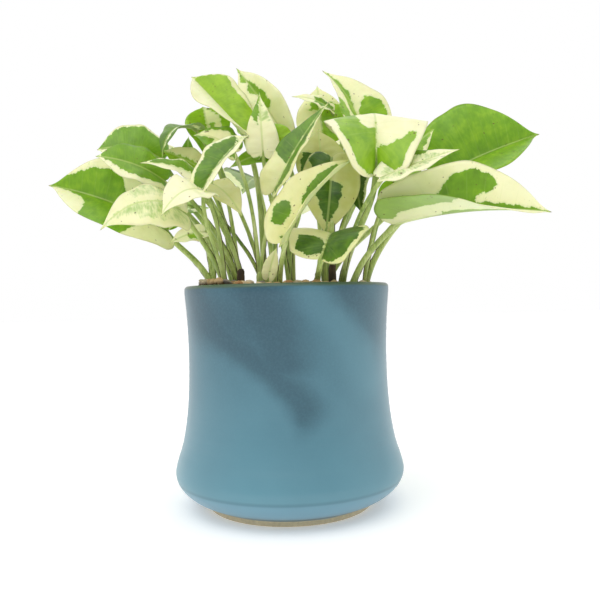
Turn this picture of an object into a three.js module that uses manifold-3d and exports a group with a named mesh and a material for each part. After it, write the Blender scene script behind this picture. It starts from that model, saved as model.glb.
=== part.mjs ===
// A potted pothos with marbled leaves: a waisted, glazed pot, its potting soil, a bed of pebbles,
// and the leafy shoots that grow out of it. Millimetres, +Z up, origin at the middle of the pot's base.
import * as THREE from 'three';
import { mergeVertices } from 'three/addons/utils/BufferGeometryUtils.js';
import Module from 'manifold-3d';

const wasm = await Module();
wasm.setup();

// Driving dimensions of the pot
const potHeight = 128;
const footRadius = 48;
const bellyRadius = 66.8;
const bellyHeight = 20;
const waistRadius = 58.2;
const waistHeight = 90;
const rimRadius = 60;
const wallThickness = 4.5;
const floorThickness = 7;
const potSides = 32;

// Driving dimensions of the filling
const clearance = 0.3;
const soilTop = 120;
const pebbleBedTop = 123.5;
const pebbleSize = [3.2, 5];
const pebbleCount = 44;
const pebbleSeed = 12;

// Driving dimensions of the shoots
const crownRadius = 2.7;
const crownSides = 6;
const crownDepth = 22;
const crownTop = 128;
const stalkRadius = [1.4, 2.3];
const stalkLeafWidth = [15, 60];
const stalkSides = 5;
const stalkSteps = 4;
const bladeThickness = 0.75;
const largeLeaf = 54;

// Materials
const glaze = new THREE.MeshStandardMaterial({ color: 0x5b8799, roughness: 0.5, metalness: 0 });
const earth = new THREE.MeshStandardMaterial({ color: 0x2b1d12, roughness: 1, metalness: 0 });
const gravel = new THREE.MeshStandardMaterial({ color: 0xc9a873, roughness: 0.8, metalness: 0 });
const foliage = new THREE.MeshStandardMaterial({ color: 0xb5cf7c, roughness: 0.45, metalness: 0 });

// Closed solids from geometry, and back
function toSolid(geometry) {
  const bare = new THREE.BufferGeometry();
  bare.setAttribute('position', geometry.getAttribute('position'));
  if (geometry.index) bare.setIndex(geometry.index);
  const merged = mergeVertices(bare, 1e-4);
  const vertProperties = new Float32Array(merged.getAttribute('position').array);
  const triVerts = new Uint32Array(merged.index.array);
  return new wasm.Manifold(new wasm.Mesh({ numProp: 3, vertProperties, triVerts }));
}

function toGeometry(solid) {
  const mesh = solid.getMesh();
  const geometry = new THREE.BufferGeometry();
  geometry.setAttribute('position', new THREE.BufferAttribute(mesh.vertProperties, 3));
  geometry.setIndex(new THREE.BufferAttribute(mesh.triVerts, 1));
  geometry.computeVertexNormals();
  return geometry;
}

function fuse(solids) {
  return solids.reduce((whole, next) => whole.add(next));
}

// The pot's outer side from the foot to the rim, as radius and height
function potSide() {
  return new THREE.SplineCurve([
    new THREE.Vector2(footRadius + 1, 3.2),
    new THREE.Vector2(58.2, 7.8),
    new THREE.Vector2(64.4, 13.6),
    new THREE.Vector2(bellyRadius, bellyHeight),
    new THREE.Vector2(65.6, 27),
    new THREE.Vector2(62.3, 38),
    new THREE.Vector2(59.8, 53),
    new THREE.Vector2(58.5, 70),
    new THREE.Vector2(waistRadius, waistHeight),
    new THREE.Vector2(58.9, 110),
    new THREE.Vector2(rimRadius, potHeight - 4),
  ]).getPoints(12);
}

function lathe(profile, sides) {
  const geometry = new THREE.LatheGeometry(profile, sides);
  geometry.rotateX(Math.PI / 2);
  return geometry;
}

// Inner radius at a height, the wall's thickness inside the outer side
function innerRadius(height) {
  const side = potSide();
  let below = side[0];
  for (const point of side) {
    if (point.y > height) {
      const share = (height - below.y) / (point.y - below.y);
      return below.x + share * (point.x - below.x) - wallThickness;
    }
    below = point;
  }
  return below.x - wallThickness;
}

function pot() {
  const outer = potSide();
  const lip = [
    new THREE.Vector2(rimRadius - 0.6, potHeight - 1.4),
    new THREE.Vector2(rimRadius - 1.8, potHeight),
    new THREE.Vector2(rimRadius - 3.2, potHeight - 0.6),
    new THREE.Vector2(rimRadius - wallThickness, potHeight - 3),
  ];
  const inner = [108, 88, 62, 38, 20, 13].map((z) => new THREE.Vector2(innerRadius(z), z));
  const profile = [
    new THREE.Vector2(0, 0),
    new THREE.Vector2(footRadius, 0),
    new THREE.Vector2(footRadius, 2.8),
    ...outer,
    ...lip,
    ...inner,
    new THREE.Vector2(footRadius, floorThickness),
    new THREE.Vector2(0, floorThickness),
  ];
  return toSolid(lathe(profile, potSides));
}

// Half outline of a flat leaf one unit long, from the notch round the lobe to the drawn-out tip
const halfWidth = 0.36;
const widestAt = 0.3;
const halfOutline = new THREE.Path()
  .moveTo(0, 0)
  .bezierCurveTo(-0.05, 0.02, -0.11, 0.11, -0.07, 0.2)
  .bezierCurveTo(-0.02, 0.3, 0.13, halfWidth, 0.3, halfWidth)
  .bezierCurveTo(0.52, halfWidth, 0.72, 0.21, 0.86, 0.08)
  .bezierCurveTo(0.91, 0.035, 0.95, 0.012, 1, 0);

// A leaf: where its stalk meets it, its tip, the way its upper face looks, its width, and its bends
function leaf(base, tip, face, width, bends = {}) {
  const usual = { arch: 0.1, fold: [20, 20], flatten: 0.4, curl: -20, belly: 0.3, wave: 1, waves: 2.5 };
  return { base, tip, face, width, ...usual, ...bends };
}

// A leaf's own axes: along the midrib, across to its left, and up out of its upper face
function leafAxes(shape) {
  const base = new THREE.Vector3(...shape.base);
  const chord = new THREE.Vector3(...shape.tip).sub(base);
  const along = chord.clone().normalize();
  const left = new THREE.Vector3(...shape.face).cross(along).normalize();
  const up = along.clone().cross(left).normalize();
  return { base, chord, along, left, up };
}

function midrib(shape) {
  const { base, chord, up } = leafAxes(shape);
  const crest = base.clone().addScaledVector(chord, 0.45);
  crest.addScaledVector(up, 2 * shape.arch * chord.length());
  return new THREE.QuadraticBezierCurve3(base, crest, base.clone().add(chord));
}

// A point of the blade, from its place on the flat leaf: x along the midrib and y across, both in lengths
function bladePoint(shape, axes, rib, x, y) {
  const length = axes.chord.length();
  const t = Math.min(Math.max(x, 0), 1);
  const tangent = rib.getTangent(t);
  const centre = rib.getPoint(t).addScaledVector(tangent, (x - t) * length);
  const up = tangent.clone().cross(axes.left);
  const side = y < 0 ? 1 : 0;
  const across = Math.min(Math.abs(y) / halfWidth, 1);
  const reach = (across * shape.width) / 2;
  const rise = shape.fold[side] * (1 - shape.flatten * t) + (shape.curl * across) / 2;
  const lean = THREE.MathUtils.degToRad(rise);
  const ripple = shape.wave * across * across * Math.sin(2 * Math.PI * shape.waves * x + side * 2.2);
  return centre
    .addScaledVector(axes.left, Math.sign(y) * reach * Math.cos(lean))
    .addScaledVector(up, reach * Math.sin(lean) + ripple);
}

// The blade as a grid of ribs from the midrib to the edge, given one thickness all over
function blade(shape) {
  const axes = leafAxes(shape);
  const rib = midrib(shape);
  const large = axes.chord.length() > largeLeaf;
  const ribs = large ? 9 : 7;
  const steps = large ? [0.45, 0.8, 1] : [0.6, 1];
  const stretch = Math.log(shape.belly) / Math.log(widestAt);
  const flat = [];
  const triangles = [];
  const indexOf = new Map();
  const vertex = (j, k) => {
    const end = j === 0 || j === ribs;
    const key = end ? `${j}` : `${j},${k}`;
    if (!indexOf.has(key)) {
      const edge = halfOutline.getPoint(j / ribs);
      const far = edge.x > 0 ? edge.x ** stretch : edge.x;
      const root = (j / ribs) ** (1.5 * stretch);
      const v = k === 0 ? 0 : steps[Math.abs(k) - 1];
      indexOf.set(key, flat.length);
      flat.push(end ? [far, 0] : [root + (far - root) * v, Math.sign(k) * edge.y * v]);
    }
    return indexOf.get(key);
  };
  const quad = (a, b, c, d) => {
    if (a !== b && b !== c && a !== c) triangles.push([a, b, c]);
    if (a !== c && c !== d && a !== d) triangles.push([a, c, d]);
  };
  const rim = [];
  for (let j = 0; j < ribs; j += 1) {
    for (let k = 0; k < steps.length; k += 1) {
      quad(vertex(j, k), vertex(j + 1, k), vertex(j + 1, k + 1), vertex(j, k + 1));
      quad(vertex(j, -k - 1), vertex(j + 1, -k - 1), vertex(j + 1, -k), vertex(j, -k));
    }
    rim.push([vertex(j, steps.length), vertex(j + 1, steps.length)]);
    rim.push([vertex(j + 1, -steps.length), vertex(j, -steps.length)]);
  }
  const middle = flat.map(([x, y]) => bladePoint(shape, axes, rib, x, y));
  const normals = middle.map(() => new THREE.Vector3());
  for (const [a, b, c] of triangles) {
    const normal = middle[b].clone().sub(middle[a]).cross(middle[c].clone().sub(middle[a])).normalize();
    for (const corner of [a, b, c]) normals[corner].add(normal);
  }
  const positions = [];
  for (const face of [0.5, -0.5]) {
    middle.forEach((point, i) => {
      const shifted = point.clone().addScaledVector(normals[i].clone().normalize(), face * bladeThickness);
      positions.push(shifted.x, shifted.y, shifted.z);
    });
  }
  const count = middle.length;
  const index = [];
  for (const [a, b, c] of triangles) {
    index.push(a, b, c, c + count, b + count, a + count);
  }
  for (const [a, b] of rim) {
    index.push(a, b, b + count, a, b + count, a + count);
  }
  const geometry = new THREE.BufferGeometry();
  geometry.setAttribute('position', new THREE.Float32BufferAttribute(positions, 3));
  geometry.setIndex(index);
  return toSolid(geometry);
}

// A round rod along a curve
function rod(curve, radius, sides, steps) {
  const section = new THREE.Shape();
  for (let i = 0; i < sides; i += 1) {
    const angle = (2 * Math.PI * i) / sides;
    if (i === 0) section.moveTo(radius, 0);
    else section.lineTo(radius * Math.cos(angle), radius * Math.sin(angle));
  }
  return toSolid(new THREE.ExtrudeGeometry(section, { steps, bevelEnabled: false, extrudePath: curve }));
}

// The leaf stalk rises from the crown, arches outward, and runs on under the start of the midrib.
// A wide leaf has a thick stalk.
function stalk(root, top, shape) {
  const rib = midrib(shape);
  const { up, chord } = leafAxes(shape);
  const start = new THREE.Vector3(root[0], root[1], top - 5);
  const arrival = rib.getTangent(0);
  const end = new THREE.Vector3(...shape.base).addScaledVector(up, -0.8);
  const height = start.distanceTo(end);
  const rise = start.clone().lerp(end, 0.16).add(new THREE.Vector3(0, 0, 0.26 * height));
  const bend = arrival.clone().add(new THREE.Vector3(0, 0, 0.7)).normalize();
  const under = rib.getPoint(0.1).addScaledVector(up, -0.8);
  const path = new THREE.CurvePath();
  path.add(new THREE.CubicBezierCurve3(start, rise, end.clone().addScaledVector(bend, -0.3 * height), end));
  path.add(new THREE.LineCurve3(end, under));
  const share = THREE.MathUtils.smoothstep(shape.width, ...stalkLeafWidth);
  return rod(path, THREE.MathUtils.lerp(...stalkRadius, share), stalkSides, stalkSteps + 1);
}

// The short stem that a shoot's stalks grow from, standing in the soil
function crown(root, top) {
  const length = top - soilTop + crownDepth;
  const geometry = new THREE.CylinderGeometry(crownRadius * 0.8, crownRadius, length, crownSides);
  geometry.rotateX(Math.PI / 2);
  geometry.translate(root[0], root[1], top - length / 2);
  return toSolid(geometry);
}

function crownHole([x, y], from, to) {
  const radius = crownRadius + clearance;
  const geometry = new THREE.CylinderGeometry(radius, radius, to - from, crownSides);
  geometry.rotateX(Math.PI / 2);
  geometry.translate(x, y, (from + to) / 2);
  return toSolid(geometry);
}

// The shoots, front ones first, each with the place of its crown and its leaves
const shoots = {
  left_low: {
    root: [-41, -14],
    leaves: [
      leaf([-71, 0, 162], [-136, -12, 188], [15, -90, 50], 56, {
        fold: [35, 34], flatten: 0.1, curl: -10, belly: 0.44,
      }),
      leaf([-48, -4, 160], [-67, -12, 153], [-20, -84, 43], 14),
      leaf([-62, 24, 175], [-108, 40, 166], [-20, 1, 96], 41),
    ],
  },
  left_front: {
    root: [-33, -30],
    leaves: [
      leaf([-53, -38, 167], [-95, -52, 157], [0, -67, 74], 34, { arch: 0.27, fold: [-10, 10], belly: 0.4 }),
      leaf([-41, -48, 179], [-18, -34, 209], [-20, -85, 41], 24, { fold: [16, 52], flatten: 0, belly: 0.5 }),
      leaf([-41, -44, 177], [-62, -58, 163], [-20, -76, 53], 27, { arch: 0.25 }),
    ],
  },
  left_inner: {
    root: [-25, -24],
    top: 137,
    leaves: [
      leaf([-39, -28, 184], [-22, -40, 164], [50, -83, 22], 18),
      leaf([-48, -14, 189], [-80, -26, 197], [0, -58, 74], 18),
    ],
  },
  left_upper: {
    root: [-14, -26],
    top: 135,
    leaves: [
      leaf([-5, -24, 181], [27, -16, 232], [-70, -65, 43], 24, {
        arch: 0.04, fold: [40, 20], curl: -10, belly: 0.25,
      }),
      leaf([-28, -12, 205], [-52, -12, 215], [0, -82, 61], 22, { arch: 0.18 }),
    ],
  },
  centre_front: {
    root: [-3, -38],
    leaves: [
      leaf([1, -58, 150], [39, -44, 194], [-48, -81, 35], 31, { fold: [40, 64], flatten: 0.1, belly: 0.3 }),
      leaf([-9, -36, 131], [-4, -37, 148], [-30, -90, -7], 9, { arch: 0.05, wave: 0.3 }),
    ],
  },
  centre_inner: {
    root: [2, -12],
    leaves: [
      leaf([-12, -6, 205], [-14, 2, 244], [0, -100, -2], 20, { fold: [20, 10], belly: 0.15 }),
      leaf([-2, 4, 207], [-8, 0, 225], [-10, -99, 29], 20, { arch: 0.15, belly: 0.5 }),
      leaf([-4, 2, 208], [-33, 0, 198], [0, -85, 41], 14),
    ],
  },
  centre_low: {
    root: [17, -38],
    leaves: [
      leaf([19, -54, 140], [26, -34, 154], [3, -79, 43], 45, { arch: 0.25, fold: [5, 50], belly: 0.5 }),
    ],
  },
  right_inner: {
    root: [26, -28],
    top: 138,
    leaves: [
      leaf([28, -9, 201], [23, -17, 154], [8, -91, 1], 34, { fold: [20, 5], belly: 0.35 }),
      leaf([44, -1, 195], [45, -7, 168], [-50, -81, 2], 15),
    ],
  },
  right_front: {
    root: [31, -22],
    leaves: [
      leaf([50, -40, 187], [52, 14, 220], [2, -69, 73], 57, {
        arch: 0.34, fold: [62, 58], flatten: 1.9, curl: -36, belly: 0.42,
      }),
      leaf([52, -50, 182], [92, -54, 195], [0, -58, 82], 25, { arch: 0.02 }),
    ],
  },
  right_low: {
    root: [36, -30],
    leaves: [
      leaf([61, -28, 160], [143, -42, 163], [-5, -84, 53], 53, {
        arch: 0.08, fold: [60, 104], flatten: 0.65, belly: 0.46,
      }),
    ],
  },
  left_back: {
    root: [-28, 12],
    leaves: [
      leaf([-70, -9, 190], [-104, -27, 201], [0, -79, 60], 30, { belly: 0.5 }),
      leaf([-76, 18, 208], [-113, 6, 212], [0, -80, 51], 37, { arch: 0.16, belly: 0.5 }),
      leaf([-53, 10, 224], [-72, -2, 204], [-60, -66, 53], 22, { arch: 0.3 }),
      leaf([-52, 14, 201], [-74, 6, 211], [0, -83, 21], 18),
    ],
  },
  upper_left: {
    root: [-14, 22],
    leaves: [
      leaf([-24, 8, 220], [-54, 0, 253], [43, -86, 27], 54, { arch: 0.02, fold: [66, -4], belly: 0.62 }),
      leaf([-46, 31, 221], [-51, 24, 242], [-10, -97, 9], 31, { arch: 0.12, fold: [66, 0], belly: 0.6 }),
      leaf([-61, 24, 209], [-60, 22, 223], [0, -93, 20], 8),
    ],
  },
  upper_middle: {
    root: [4, 30],
    leaves: [
      leaf([-1, 28, 226], [-30, 30, 268], [-10, -98, 18], 30, { fold: [10, 62], belly: 0.32 }),
    ],
  },
  upper_right: {
    root: [24, 18],
    leaves: [
      leaf([51, 22, 220], [25, 32, 266], [53, -81, 26], 43, { fold: [34, 40], flatten: 0.1, belly: 0.2 }),
      leaf([25, 38, 224], [22, 44, 260], [0, -92, 9], 33),
      leaf([31, 34, 241], [5, 30, 249], [0, -68, 62], 12),
      leaf([23, 6, 192], [21, 10, 223], [0, -91, 0], 31),
    ],
  },
  right_outer: {
    root: [46, 2],
    leaves: [
      leaf([96, 18, 194], [156, 10, 217], [-22, -90, 38], 70, {
        arch: 0.05, fold: [32, 56], flatten: 0.2, belly: 0.38,
      }),
      leaf([72, 4, 204], [90, 0, 219], [0, -84, 31], 18),
      leaf([58, -12, 177], [85, -8, 197], [-50, -62, 14], 14),
    ],
  },
  back_left: {
    root: [-34, 34],
    leaves: [
      leaf([-65, 58, 185], [-114, 86, 179], [-40, 50, 90], 46),
      leaf([-52, 50, 207], [-90, 72, 224], [-30, 20, 90], 40),
    ],
  },
  back_middle: {
    root: [-8, 46],
    leaves: [
      leaf([-21, 82, 206], [-36, 130, 203], [-10, 60, 80], 48),
      leaf([-12, 62, 224], [-32, 98, 242], [-10, 20, 90], 36),
      leaf([9, 86, 188], [4, 126, 181], [0, 50, 90], 44),
    ],
  },
  back_right: {
    root: [24, 40],
    leaves: [
      leaf([55, 60, 202], [89, 98, 207], [20, 50, 90], 48),
      leaf([42, 56, 224], [70, 84, 236], [10, 20, 90], 36),
      leaf([23, 72, 214], [36, 116, 213], [10, 40, 90], 44),
      leaf([69, 43, 178], [117, 63, 177], [30, 10, 95], 46),
    ],
  },
};

function crownRoots() {
  return Object.values(shoots).map((shoot) => shoot.root);
}

function shootSolid({ root, top = crownTop, leaves }) {
  const parts = leaves.flatMap((shape) => [stalk(root, top, shape), blade(shape)]);
  return fuse([crown(root, top), ...parts]);
}

// Potting soil that fills the pot, with a plain hole round each crown
function soil() {
  const steps = [soilTop, 104, 88, 62, 38, 20, 13];
  const side = steps.map((z) => new THREE.Vector2(innerRadius(z) - clearance, z));
  const bottom = floorThickness + clearance;
  const profile = [
    new THREE.Vector2(0, soilTop),
    ...side,
    new THREE.Vector2(footRadius - clearance, bottom),
    new THREE.Vector2(0, bottom),
  ];
  const holeBottom = soilTop - crownDepth - clearance;
  const holes = crownRoots().map((root) => crownHole(root, holeBottom, soilTop + 5));
  return toSolid(lathe(profile.reverse(), potSides)).subtract(fuse(holes));
}

// A small generator of repeatable random numbers between 0 and 1
function randomFrom(seed) {
  let state = seed;
  return () => {
    state = (state * 16807) % 2147483647;
    return state / 2147483647;
  };
}

// Pebbles bedded half deep over the soil, spread evenly by the golden angle and clear of the crowns
function pebbleBed() {
  const bottom = soilTop + clearance;
  const reach = innerRadius(pebbleBedTop) - clearance;
  const bed = new THREE.CylinderGeometry(reach, reach, pebbleBedTop - bottom, potSides);
  bed.rotateX(Math.PI / 2);
  bed.translate(0, 0, (pebbleBedTop + bottom) / 2);
  const random = randomFrom(pebbleSeed);
  const goldenAngle = Math.PI * (3 - Math.sqrt(5));
  const pebbles = [];
  for (let i = 0; i < pebbleCount; i += 1) {
    const size = THREE.MathUtils.lerp(...pebbleSize, random());
    const distance = (reach - size) * Math.sqrt((i + 0.5) / pebbleCount);
    const angle = i * goldenAngle + 0.4 * random();
    const turn = Math.PI * random();
    const [x, y] = [distance * Math.cos(angle), distance * Math.sin(angle)];
    const gap = Math.min(...crownRoots().map((root) => Math.hypot(x - root[0], y - root[1])));
    if (gap < crownRadius + 1.3 * size) continue;
    const pebble = new THREE.IcosahedronGeometry(size, 0);
    pebble.scale(1.2, 0.9, 0.7);
    pebble.rotateZ(turn);
    pebble.translate(x, y, pebbleBedTop + 0.2 * size);
    pebbles.push(toSolid(pebble));
  }
  const holes = crownRoots().map((root) => crownHole(root, bottom - 2, pebbleBedTop + 5));
  return fuse([toSolid(bed), ...pebbles]).subtract(fuse(holes));
}

// Assembly
const plant = new THREE.Group();

function place(name, geometry, material) {
  const mesh = new THREE.Mesh(geometry, material);
  mesh.name = name;
  plant.add(mesh);
}

place('pot', toGeometry(pot()), glaze);
place('soil', toGeometry(soil()), earth);
place('pebble_bed', toGeometry(pebbleBed()), gravel);
for (const [name, shoot] of Object.entries(shoots)) {
  place(`shoot_${name}`, toGeometry(shootSolid(shoot)), foliage);
}

export default plant;
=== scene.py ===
# Looks of a potted pothos with marbled leaves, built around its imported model.
# Places are given in millimetres, as on the model, and turned into metres when a mesh is made.
import math

import bpy
import numpy as np
from mathutils import Matrix, Vector


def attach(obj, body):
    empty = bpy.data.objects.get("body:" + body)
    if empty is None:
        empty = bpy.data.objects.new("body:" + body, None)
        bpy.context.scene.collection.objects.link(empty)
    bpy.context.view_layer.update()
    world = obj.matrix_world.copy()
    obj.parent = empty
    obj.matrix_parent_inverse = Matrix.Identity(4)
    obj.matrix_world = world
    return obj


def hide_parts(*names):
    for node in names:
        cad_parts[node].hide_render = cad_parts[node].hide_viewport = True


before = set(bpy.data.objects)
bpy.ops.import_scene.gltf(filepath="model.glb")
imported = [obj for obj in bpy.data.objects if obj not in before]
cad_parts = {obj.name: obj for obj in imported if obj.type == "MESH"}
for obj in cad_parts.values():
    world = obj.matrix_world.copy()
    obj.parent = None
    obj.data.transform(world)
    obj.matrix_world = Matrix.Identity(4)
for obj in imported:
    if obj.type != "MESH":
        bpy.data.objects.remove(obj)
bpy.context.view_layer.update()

mm = 0.001
print("frame loaded:", len(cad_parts), "nodes")


# Small helpers for colours, meshes and node trees

def rgb(red, green, blue):
    # a colour read off the photograph, 0 to 255, as the linear value that Blender mixes
    share = [channel / 255 for channel in (red, green, blue)]
    return tuple(c / 12.92 if c <= 0.04045 else ((c + 0.055) / 1.055) ** 2.4 for c in share) + (1.0,)


def unit(vector):
    return vector / np.linalg.norm(vector)


def newObject(name, data):
    thing = bpy.data.objects.new(name, data)
    bpy.context.scene.collection.objects.link(thing)
    return thing


def newMesh(name, points, faces):
    mesh = bpy.data.meshes.new(name)
    mesh.from_pydata([tuple(p) for p in points], [], faces)
    mesh.update()
    return mesh


def addAttribute(mesh, name, values, kind="FLOAT"):
    attribute = mesh.attributes.new(name, kind, "POINT")
    key = "vector" if kind == "FLOAT_VECTOR" else "value"
    attribute.data.foreach_set(key, np.asarray(values, dtype=np.float32).ravel())


def fill(tree, node, inputs):
    for key, value in inputs.items():
        socket = node.inputs[key]
        if isinstance(value, bpy.types.NodeSocket):
            tree.links.new(value, socket)
        else:
            socket.default_value = value
    return node


def addNode(tree, kind, inputs=None, **settings):
    node = tree.nodes.new(kind)
    for key, value in settings.items():
        setattr(node, key, value)
    return fill(tree, node, inputs or {})


def calc(tree, operation, first, second=0.0, third=0.0):
    node = addNode(tree, "ShaderNodeMath", {0: first, 1: second, 2: third}, operation=operation)
    return node.outputs[0]


def times(tree, first, second):
    return calc(tree, "MULTIPLY", first, second)


def timesPlus(tree, value, factor, more):
    return calc(tree, "MULTIPLY_ADD", value, factor, more)


def aroundHalf(tree, value, factor, more):
    # adds a value that varies around 0.5, as much of it as the factor says
    return timesPlus(tree, calc(tree, "SUBTRACT", value, 0.5), factor, more)


def step(tree, value, low, high, soft="SMOOTHSTEP"):
    # 0 below low, 1 above high
    node = addNode(tree, "ShaderNodeMapRange", interpolation_type=soft)
    fill(tree, node, {"Value": value, "From Min": low, "From Max": high})
    return node.outputs[0]


def blendColour(tree, factor, first, second, mode="MIX"):
    node = addNode(tree, "ShaderNodeMix", data_type="RGBA", blend_type=mode)
    fill(tree, node, {0: factor, 6: first, 7: second})
    return node.outputs[2]


def paint(tree, colour, where, strength, over, mode="MIX"):
    # lays another colour over this one where the mask says, as strongly as given
    return blendColour(tree, times(tree, where, strength), colour, over, mode)


def noise(tree, place, scale, detail=2.0, roughness=0.5):
    values = {"Vector": place, "Scale": scale, "Detail": detail, "Roughness": roughness}
    return addNode(tree, "ShaderNodeTexNoise", values).outputs["Fac"]


def ramp(tree, value, stops):
    node = addNode(tree, "ShaderNodeValToRGB", {"Fac": value})
    band = node.color_ramp
    while len(band.elements) < len(stops):
        band.elements.new(0.5)
    for element, (position, colour) in zip(band.elements, stops):
        element.position = position
        element.color = colour
    return node.outputs["Color"]


def attributeOf(tree, name, vector=True):
    node = addNode(tree, "ShaderNodeAttribute", attribute_name=name)
    return node.outputs["Vector"] if vector else node.outputs["Fac"]


def split(tree, vector):
    node = addNode(tree, "ShaderNodeSeparateXYZ", {0: vector})
    return node.outputs[0], node.outputs[1], node.outputs[2]


def together(tree, x, y, z):
    return addNode(tree, "ShaderNodeCombineXYZ", {0: x, 1: y, 2: z}).outputs[0]


def objectPlace(tree):
    return addNode(tree, "ShaderNodeTexCoord").outputs["Object"]


def stretchedPlace(tree, across, along):
    # the place in the object, for streaks that run upwards
    x, y, z = split(tree, objectPlace(tree))
    return together(tree, times(tree, x, across), times(tree, y, across), times(tree, z, along))


def newMaterial(name):
    material = bpy.data.materials.new(name)
    material.use_nodes = True
    tree = material.node_tree
    return material, tree, tree.nodes["Principled BSDF"]


def bump(tree, height, strength, distance):
    node = addNode(tree, "ShaderNodeBump", {"Height": height, "Strength": strength, "Distance": distance})
    return node.outputs["Normal"]


def newGroup(name, inputs):
    # a Geometry Nodes tree with a Geometry input and the named inputs, (name, socket type, value)
    tree = bpy.data.node_groups.new(name, "GeometryNodeTree")
    tree.interface.new_socket("Geometry", in_out="INPUT", socket_type="NodeSocketGeometry")
    for label, kind, value in inputs:
        socket = tree.interface.new_socket(label, in_out="INPUT", socket_type=kind)
        if value is not None:
            socket.default_value = value
    tree.interface.new_socket("Geometry", in_out="OUTPUT", socket_type="NodeSocketGeometry")
    start = tree.nodes.new("NodeGroupInput")
    end = tree.nodes.new("NodeGroupOutput")
    return tree, start.outputs, end.inputs


def applyTree(source, tree, values, name):
    # runs the tree on the object and returns its result as a plain mesh object
    modifier = source.modifiers.new(tree.name, "NODES")
    modifier.node_group = tree
    for socket in tree.interface.items_tree:
        if socket.item_type == "SOCKET" and socket.in_out == "INPUT" and socket.name in values:
            modifier[socket.identifier] = values[socket.name]
    depsgraph = bpy.context.evaluated_depsgraph_get()
    mesh = bpy.data.meshes.new_from_object(source.evaluated_get(depsgraph), depsgraph=depsgraph)
    source.modifiers.clear()
    bpy.data.objects.remove(source)
    mesh.name = name
    return newObject(name, mesh)


def finishTree(tree, geometry, material, end):
    # every tree ends the same way: real geometry, smooth, in its material
    real = addNode(tree, "GeometryNodeRealizeInstances", {"Geometry": geometry})
    smooth = addNode(tree, "GeometryNodeSetShadeSmooth", {"Geometry": real.outputs[0]})
    painted = addNode(tree, "GeometryNodeSetMaterial",
                      {"Geometry": smooth.outputs[0], "Material": material})
    tree.links.new(painted.outputs[0], end["Geometry"])


def turnOutwards(thing):
    # a closed mesh whose volume comes out negative is inside out
    mesh = thing.data
    mesh.calc_loop_triangles()
    corners = np.empty(len(mesh.vertices) * 3)
    mesh.vertices.foreach_get("co", corners)
    corners = corners.reshape(-1, 3)
    index = np.empty(len(mesh.loop_triangles) * 3, dtype=np.int64)
    mesh.loop_triangles.foreach_get("vertices", index)
    a, b, c = (corners[index.reshape(-1, 3)[:, i]] for i in range(3))
    if np.einsum("ij,ij->i", a, np.cross(b, c)).sum() < 0:
        mesh.flip_normals()


def catmull(points, steps):
    # a smooth line through the points
    before = 2 * np.array(points[0]) - points[1]
    after = 2 * np.array(points[-1]) - points[-2]
    knots = np.array([before, *points, after])
    t = np.linspace(0, 1, steps, endpoint=False)[:, None]
    line = []
    for a, b, c, d in zip(knots, knots[1:], knots[2:], knots[3:]):
        square = 2 * a - 5 * b + 4 * c - d
        cube = 3 * b - a - 3 * c + d
        line.append(0.5 * (2 * b + (c - a) * t + square * t**2 + cube * t**3))
    return np.vstack([*line, knots[-2][None]])


def bezier(a, b, c, d, steps):
    t = np.linspace(0, 1, steps)[:, None]
    return a * (1 - t) ** 3 + 3 * b * t * (1 - t) ** 2 + 3 * c * t**2 * (1 - t) + d * t**3


# Glaze of the pot, with the bare clay of its foot

glazeLook = {
    "deep": rgb(52, 96, 112),
    "middle": rgb(84, 132, 148),
    "pale": rgb(98, 150, 166),
    # the colour of the painted leaf shadows on the front
    "cloud": rgb(32, 70, 86),
    "lip": rgb(62, 90, 66),
    "line": rgb(52, 84, 100),
    # painted light from the floor on the band under the belly
    "floorLitBand": rgb(124, 160, 184),
    "clay": rgb(232, 218, 180),
    "clayShade": rgb(176, 164, 136),
    "gloss": 0.36,
    "clayRoughness": 0.85,
    "glazeEnd": 3.4,
    "grain": 0.10,
    # painted leaf shadows (dark) and a painted streak of light (pale), as bands on the front: from one (x,
    # z) to another in mm, half their width, and how strong each is
    "leafShadowBands": [((-34, 106), (16, 58), 14, 1.0), ((-14, 128), (2, 78), 20, 1.0),
                  ((-64, 116), (-10, 104), 22, 0.75), ((30, 128), (58, 96), 14, 0.6)],
    "lightStreakBands": [((14, 124), (48, 68), 15, 0.35)],
    "leafShadowStrength": 0.66,
    # rings round the pot: colour, strength, ragged or even, and the heights between which each fades in
    "rings": [("lip", 0.95, True, [(126.2, 127.8)]),
              ("floorLitBand", 0.3, False, [(16.6, 14.8)]),
              ("line", 0.28, False, [(15.2, 16.3), (18.2, 16.6)]),
              ("line", 0.8, True, [(4.0, 5.2), (7.8, 5.5)])],
}


def frontBands(tree, place, bands, cloud):
    # soft bands of painted shadow, and of painted light, on the pot's front; where two of them meet, the
    # stronger one shows
    x, y, z = place
    front = step(tree, y, 0.0, -35 * mm)
    shown = 0.0
    for first, last, halfWidth, strength in bands:
        length = math.dist(first, last)
        right, up = (last[0] - first[0]) / length, (last[1] - first[1]) / length
        dx = calc(tree, "SUBTRACT", x, first[0] * mm)
        dz = calc(tree, "SUBTRACT", z, first[1] * mm)
        along = timesPlus(tree, dx, right, times(tree, dz, up))
        across = timesPlus(tree, dx, -up, times(tree, dz, right))
        wavy = calc(tree, "ABSOLUTE", aroundHalf(tree, cloud, 30 * mm, across))
        side = step(tree, wavy, halfWidth * mm, 0.15 * halfWidth * mm)
        end = step(tree, along, (length + 8) * mm, (length - 8) * mm)
        band = times(tree, times(tree, side, end), front)
        shown = calc(tree, "MAXIMUM", shown, times(tree, band, strength))
    return shown


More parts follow.
